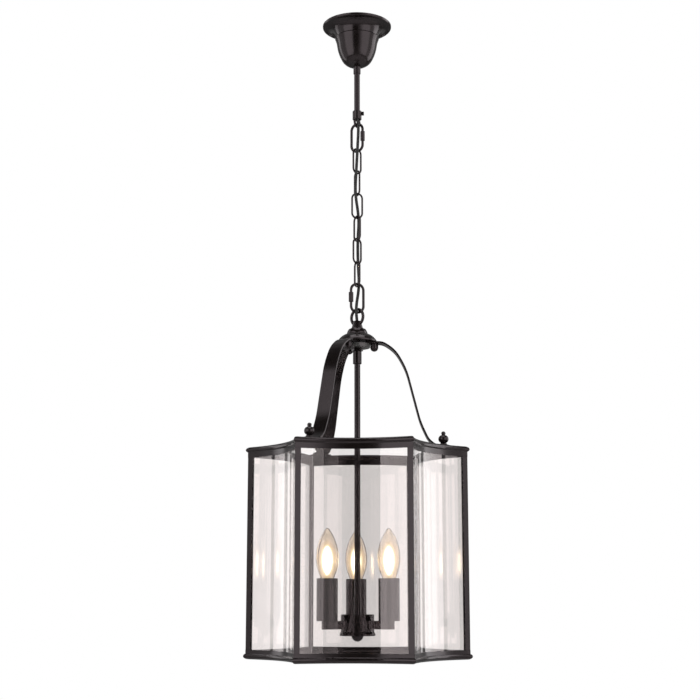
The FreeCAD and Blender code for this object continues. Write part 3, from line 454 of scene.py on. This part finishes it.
def light_bulb(letter):
    """LED filaments on a glass stem with their lead wires, and the glow around them, inside one bulb."""
    low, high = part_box(f"bulb_glass_{letter}")
    foot = Vector((0.5 * (low.x + high.x), 0.5 * (low.y + high.y), low.z))
    centre = foot + Vector((0, 0, GLOW_RISE))
    mesh = bmesh.new()
    half = 0.5 * FILAMENT["length"]
    for k in range(FILAMENTS):
        turn = 2 * math.pi * (k + FILAMENT_TURN) / FILAMENTS
        out = Vector((math.cos(turn), math.sin(turn), 0))
        ends = (centre + FILAMENT["spread_low"] * out - Vector((0, 0, half)),
                centre + FILAMENT["spread_high"] * out + Vector((0, 0, half)))
        rod(mesh, *ends, FILAMENT["radius"])
        lead_foot = ends[0] - Vector((0, 0, LEAD_DROP)) - LEAD_DRAW * out
        rod(mesh, lead_foot, ends[0], LEAD_RADIUS, slot=1)
        rod(mesh, centre + Vector((0, 0, half + LEAD_TOP_RISE)), ends[1], LEAD_RADIUS, slot=1)
    stem = [(radius * MM, height * MM) for radius, height in STEM]
    lathe(mesh, stem, foot + Vector((0, 0, STEM_RISE)), slot=2)
    for k, (radius, reach, *rest) in enumerate(GLOWS):
        lathe(mesh, spindle(radius * MM, reach * MM), centre, slot=3 + k)
    bmesh.ops.recalc_face_normals(mesh, faces=mesh.faces)
    piece = finish_mesh(f"filament_{letter}", mesh)
    for paint in (FILAMENT_PAINT, LEAD_WIRE, STEM_GLASS, *GLOW_PAINTS):
        piece.data.materials.append(paint)
    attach(piece, f"bulb_{letter}")


for letter in "abc":
    light_bulb(letter)


# ---------------------------------------------------------------- studio

def seen_by_eye(tree):
    """1 on a ray from the camera, or from it through glass with no reflection on the way, otherwise 0."""
    path = tree.nodes.new("ShaderNodeLightPath")
    unreflected = calculate(tree, "LESS_THAN", path.outputs["Glossy Depth"], 0.5)
    through_glass = calculate(tree, "MULTIPLY", path.outputs["Is Transmission Ray"], unreflected)
    return calculate(tree, "MAXIMUM", path.outputs["Is Camera Ray"], through_glass)


def area_light(name, place, target, width, height, power, shines_on=None):
    """A soft panel that lights and shows in reflections, but isn't seen itself, even through the glass."""
    light = bpy.data.lights.new(name, "AREA")
    light.shape = "RECTANGLE"
    light.size, light.size_y = width, height
    light.energy = power
    light.use_nodes = True
    tree = light.node_tree
    link(tree, remap(tree, seen_by_eye(tree), 1, 0, 0, 1), tree.nodes["Emission"].inputs["Strength"])
    made = bpy.data.objects.new(name, light)
    made.location = place
    made.rotation_euler = (Vector(target) - Vector(place)).to_track_quat("-Z", "Y").to_euler()
    made.visible_camera = False
    if shines_on:
        made.light_linking.receiver_collection = shines_on
    bpy.context.scene.collection.objects.link(made)


def group_of(name, members):
    """A collection of the things that a light is kept for."""
    made = bpy.data.collections.new(name)
    for member in members:
        made.objects.link(member)
    return made


FLOOR_HEIGHT = -2.0


def make_floor(height, reach=9.0):
    """A pale floor that glows a little to the eye, so that it stays pale out of the panels' light."""
    mesh = bmesh.new()
    corners = [(-reach, -reach), (reach, -reach), (reach, reach), (-reach, reach)]
    mesh.faces.new([mesh.verts.new((x, y, height)) for x, y in corners])
    made, tree, shader = new_material("floor", Roughness=0.8)
    tone = remap(tree, noise(tree, 0.6, 2), 0, 1)
    link(tree, two_tones(tree, tone, (0.83, 0.83, 0.83), (0.86, 0.86, 0.86)), shader.inputs["Base Color"])
    shader.inputs["Emission Color"].default_value = (1, 1, 1, 1)
    link(tree, remap(tree, seen_by_eye(tree), 0, 0.5, 0, 1), shader.inputs["Emission Strength"])
    finish_mesh("floor", mesh, made)


def make_world():
    """A white surround to the eye and through the glass, dimmer in what the object's surfaces reflect."""
    world = bpy.data.worlds.new("studio")
    world.use_nodes = True
    tree = world.node_tree
    shown = tree.nodes["Background"]
    shown.inputs["Color"].default_value = (1, 1, 1, 1)
    shown.inputs["Strength"].default_value = 1.0
    room = tree.nodes.new("ShaderNodeBackground")
    place = tree.nodes.new("ShaderNodeTexCoord")
    split = tree.nodes.new("ShaderNodeSeparateXYZ")
    link(tree, place.outputs["Generated"], split.inputs[0])
    behind = remap(tree, split.outputs["Y"], 0.02, 0.3, -0.1, 0.5)
    bands = tree.nodes.new("ShaderNodeTexNoise")
    bands.inputs["Scale"].default_value = 6.0
    upright = tree.nodes.new("ShaderNodeMapping")
    upright.inputs["Scale"].default_value = (1, 1, 0.04)
    link(tree, place.outputs["Generated"], upright.inputs["Vector"])
    link(tree, upright.outputs["Vector"], bands.inputs["Vector"])
    shade = remap(tree, bands.outputs["Fac"], 0.6, 1.25, 0.35, 0.65)
    link(tree, calculate(tree, "MULTIPLY", behind, shade), room.inputs["Strength"])
    mix = tree.nodes.new("ShaderNodeMixShader")
    link(tree, seen_by_eye(tree), mix.inputs[0])
    link(tree, room.outputs[0], mix.inputs[1])
    link(tree, shown.outputs[0], mix.inputs[2])
    link(tree, mix.outputs[0], tree.nodes["World Output"].inputs["Surface"])
    bpy.context.scene.world = world


CAMERA_LENS = 69.35                       # mm, on a sensor 36 mm wide
CAMERA_PLACE = (0.0740, -2.2335, -0.9854)
CAMERA_HEADING = (-0.0386, 0.9993)        # the level part of the way it looks, of length 1
CAMERA_PITCH = math.radians(10.31)


def make_camera():
    """Looks up a little at the lantern from in front, slightly to the right."""
    camera = bpy.data.cameras.new("camera")
    camera.lens = CAMERA_LENS
    camera.sensor_width = 36
    made = bpy.data.objects.new("camera", camera)
    made.location = CAMERA_PLACE
    across, ahead = CAMERA_HEADING
    level = math.cos(CAMERA_PITCH)
    look = Vector((across * level, ahead * level, math.sin(CAMERA_PITCH)))
    made.rotation_euler = look.to_track_quat("-Z", "Y").to_euler()
    bpy.context.scene.collection.objects.link(made)
    bpy.context.scene.camera = made


def softbox(name, turn, radiance, width=2.2, height=2.8, away=2.5, level=-0.1, shines_on=None):
    """A tall soft panel that faces the lantern from turn degrees to the right of the camera's side."""
    angle = math.radians(turn)
    place = (away * math.sin(angle), -away * math.cos(angle), level)
    area_light(name, place, (0, 0, level), width, height, radiance * math.pi * width * height, shines_on)


panes = group_of("panes", [nodes[node] for node in nodes if slot_of[node] == "pane_glass"])
others = group_of("all_but_panes", [nodes[node] for node in nodes if slot_of[node] != "pane_glass"])

softbox("left_softbox", -45, 1.7, width=2.15)
softbox("right_softbox", 51, 1.6, width=1.9)
softbox("right_inner", 26, 1.0, width=0.4)
softbox("right_fill", 16, 0.35, width=0.56, away=2.9)
softbox("left_flank", -85, 0.6, width=1.5, shines_on=others)
softbox("right_flank", 88, 0.6, width=1.5, shines_on=others)
softbox("left_side_a", -90, 1.6, width=1.05, shines_on=panes)
softbox("left_side_b", -115, 1.6, width=0.75)
softbox("left_side_c", -143, 1.1, width=1.15, shines_on=panes)
softbox("right_side_a", 87, 1.2, width=0.6, shines_on=panes)
softbox("right_side_b", 113, 1.9, width=1.3)
softbox("right_side_c", 140, 1.1, width=0.6, shines_on=panes)
area_light("top_softbox", (0.0, -0.3, 1.9), (0, 0, -0.7), 2.0, 2.0, 25)
make_floor(FLOOR_HEIGHT)
make_world()
make_camera()
bpy.context.scene.view_settings.view_transform = "Standard"
